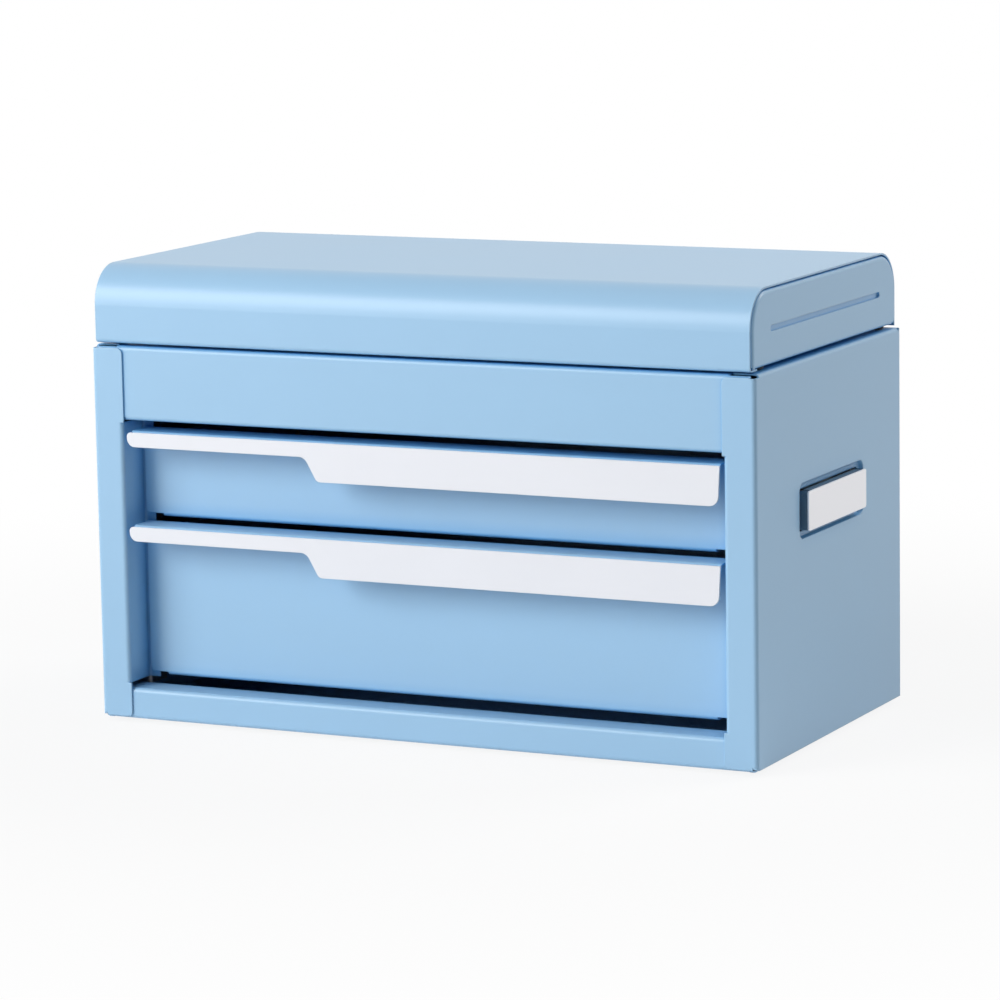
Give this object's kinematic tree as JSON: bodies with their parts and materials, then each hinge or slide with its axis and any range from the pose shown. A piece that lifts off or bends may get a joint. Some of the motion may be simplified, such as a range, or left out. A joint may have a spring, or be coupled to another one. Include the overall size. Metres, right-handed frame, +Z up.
{
  "type": "portable tool box with drawers",
  "caption": "Folded sheet-metal tool box with a hinged lid over a top compartment, a shallow and a deep drawer on ball slides, stepped pull plates and a drop handle in each side.",
  "frame": {"origin": "middle of the footprint, on the surface that the feet stand on", "axes": "+X to the right as seen from the front, -Y towards the front, +Z up"},
  "size_m": [0.336, 0.1756, 0.213],
  "materials": {
    "case_paint": "satin powder coat",
    "pull_paint": "satin powder coat",
    "plated_steel": "zinc plated",
    "bright_steel": "polished",
    "black_rubber": "matte",
    "drawer_mat": "ribbed matte",
    "grip_paint": "satin"
  },
  "bodies": {
    "case": {"side_panel_left": "case_paint", "side_panel_right": "case_paint", "back_panel": "case_paint", "base_pan": "case_paint", "front_fascia": "case_paint", "tray_floor": "case_paint", "top_mat": "drawer_mat", "uprights_left": "plated_steel", "uprights_right": "plated_steel", "upper_rail_left": "plated_steel", "upper_rail_right": "plated_steel", "lower_rail_left": "plated_steel", "lower_rail_right": "plated_steel", "rail_buffers": "black_rubber", "rail_rivets": "plated_steel", "hinge_body_leaf": "plated_steel", "hinge_pin": "bright_steel", "hinge_body_rivets": "plated_steel", "rubber_feet": "black_rubber", "handle_bracket_left": "plated_steel", "handle_bracket_right": "plated_steel", "handle_pins_left": "bright_steel", "handle_pins_right": "bright_steel"},
    "lid": {"lid_top": "case_paint", "lid_end_left": "case_paint", "lid_end_right": "case_paint", "hinge_lid_leaf": "plated_steel", "hinge_lid_rivets": "plated_steel", "lid_pads": "black_rubber"},
    "upper_drawer": {"upper_front": "case_paint", "upper_pull": "pull_paint", "upper_tray": "case_paint", "upper_mat": "drawer_mat", "upper_slide_left": "plated_steel", "upper_slide_right": "plated_steel", "upper_slide_rivets": "plated_steel"},
    "lower_drawer": {"lower_front": "case_paint", "lower_pull": "pull_paint", "lower_tray": "case_paint", "lower_mat": "drawer_mat", "lower_slide_left": "plated_steel", "lower_slide_right": "plated_steel", "lower_slide_rivets": "plated_steel"},
    "upper_carriage_left": {"upper_cage_left": "plated_steel", "upper_balls_left": "bright_steel"},
    "upper_carriage_right": {"upper_cage_right": "plated_steel", "upper_balls_right": "bright_steel"},
    "lower_carriage_left": {"lower_cage_left": "plated_steel", "lower_balls_left": "bright_steel"},
    "lower_carriage_right": {"lower_cage_right": "plated_steel", "lower_balls_right": "bright_steel"},
    "handle_left": {"handle_grip_left": "grip_paint", "handle_plate_left": "pull_paint"},
    "handle_right": {"handle_grip_right": "grip_paint", "handle_plate_right": "pull_paint"}
  },
  "joints": [
    {"name": "lid_hinge", "type": "hinge", "parent": "case", "child": "lid", "pos_m": [0, 0.0856, 0.17713], "axis": [-1, 0, 0], "range_deg": [0, 100]},
    {"name": "upper_drawer_slide", "type": "slide", "parent": "case", "child": "upper_drawer", "axis": [0, -1, 0], "range_m": [0, 0.1]},
    {"name": "lower_drawer_slide", "type": "slide", "parent": "case", "child": "lower_drawer", "axis": [0, -1, 0], "range_m": [0, 0.1]},
    {"name": "upper_carriage_left_slide", "type": "slide", "parent": "case", "child": "upper_carriage_left", "axis": [0, -1, 0], "range_m": [0, 0.05]},
    {"name": "upper_carriage_right_slide", "type": "slide", "parent": "case", "child": "upper_carriage_right", "axis": [0, -1, 0], "range_m": [0, 0.05]},
    {"name": "lower_carriage_left_slide", "type": "slide", "parent": "case", "child": "lower_carriage_left", "axis": [0, -1, 0], "range_m": [0, 0.05]},
    {"name": "lower_carriage_right_slide", "type": "slide", "parent": "case", "child": "lower_carriage_right", "axis": [0, -1, 0], "range_m": [0, 0.05]},
    {"name": "handle_right_pivot", "type": "hinge", "parent": "case", "child": "handle_right", "pos_m": [0.1654, 0.0003, 0.11645], "axis": [0, -1, 0], "range_deg": [0, 90]},
    {"name": "handle_left_pivot", "type": "hinge", "parent": "case", "child": "handle_left", "pos_m": [-0.1654, 0.0003, 0.11645], "axis": [0, 1, 0], "range_deg": [0, 90]}
  ],
  "couplings": [
    {"joint": "upper_carriage_left_slide", "follows": "upper_drawer_slide", "ratio": 0.5},
    {"joint": "upper_carriage_right_slide", "follows": "upper_drawer_slide", "ratio": 0.5},
    {"joint": "lower_carriage_left_slide", "follows": "lower_drawer_slide", "ratio": 0.5},
    {"joint": "lower_carriage_right_slide", "follows": "lower_drawer_slide", "ratio": 0.5}
  ]
}
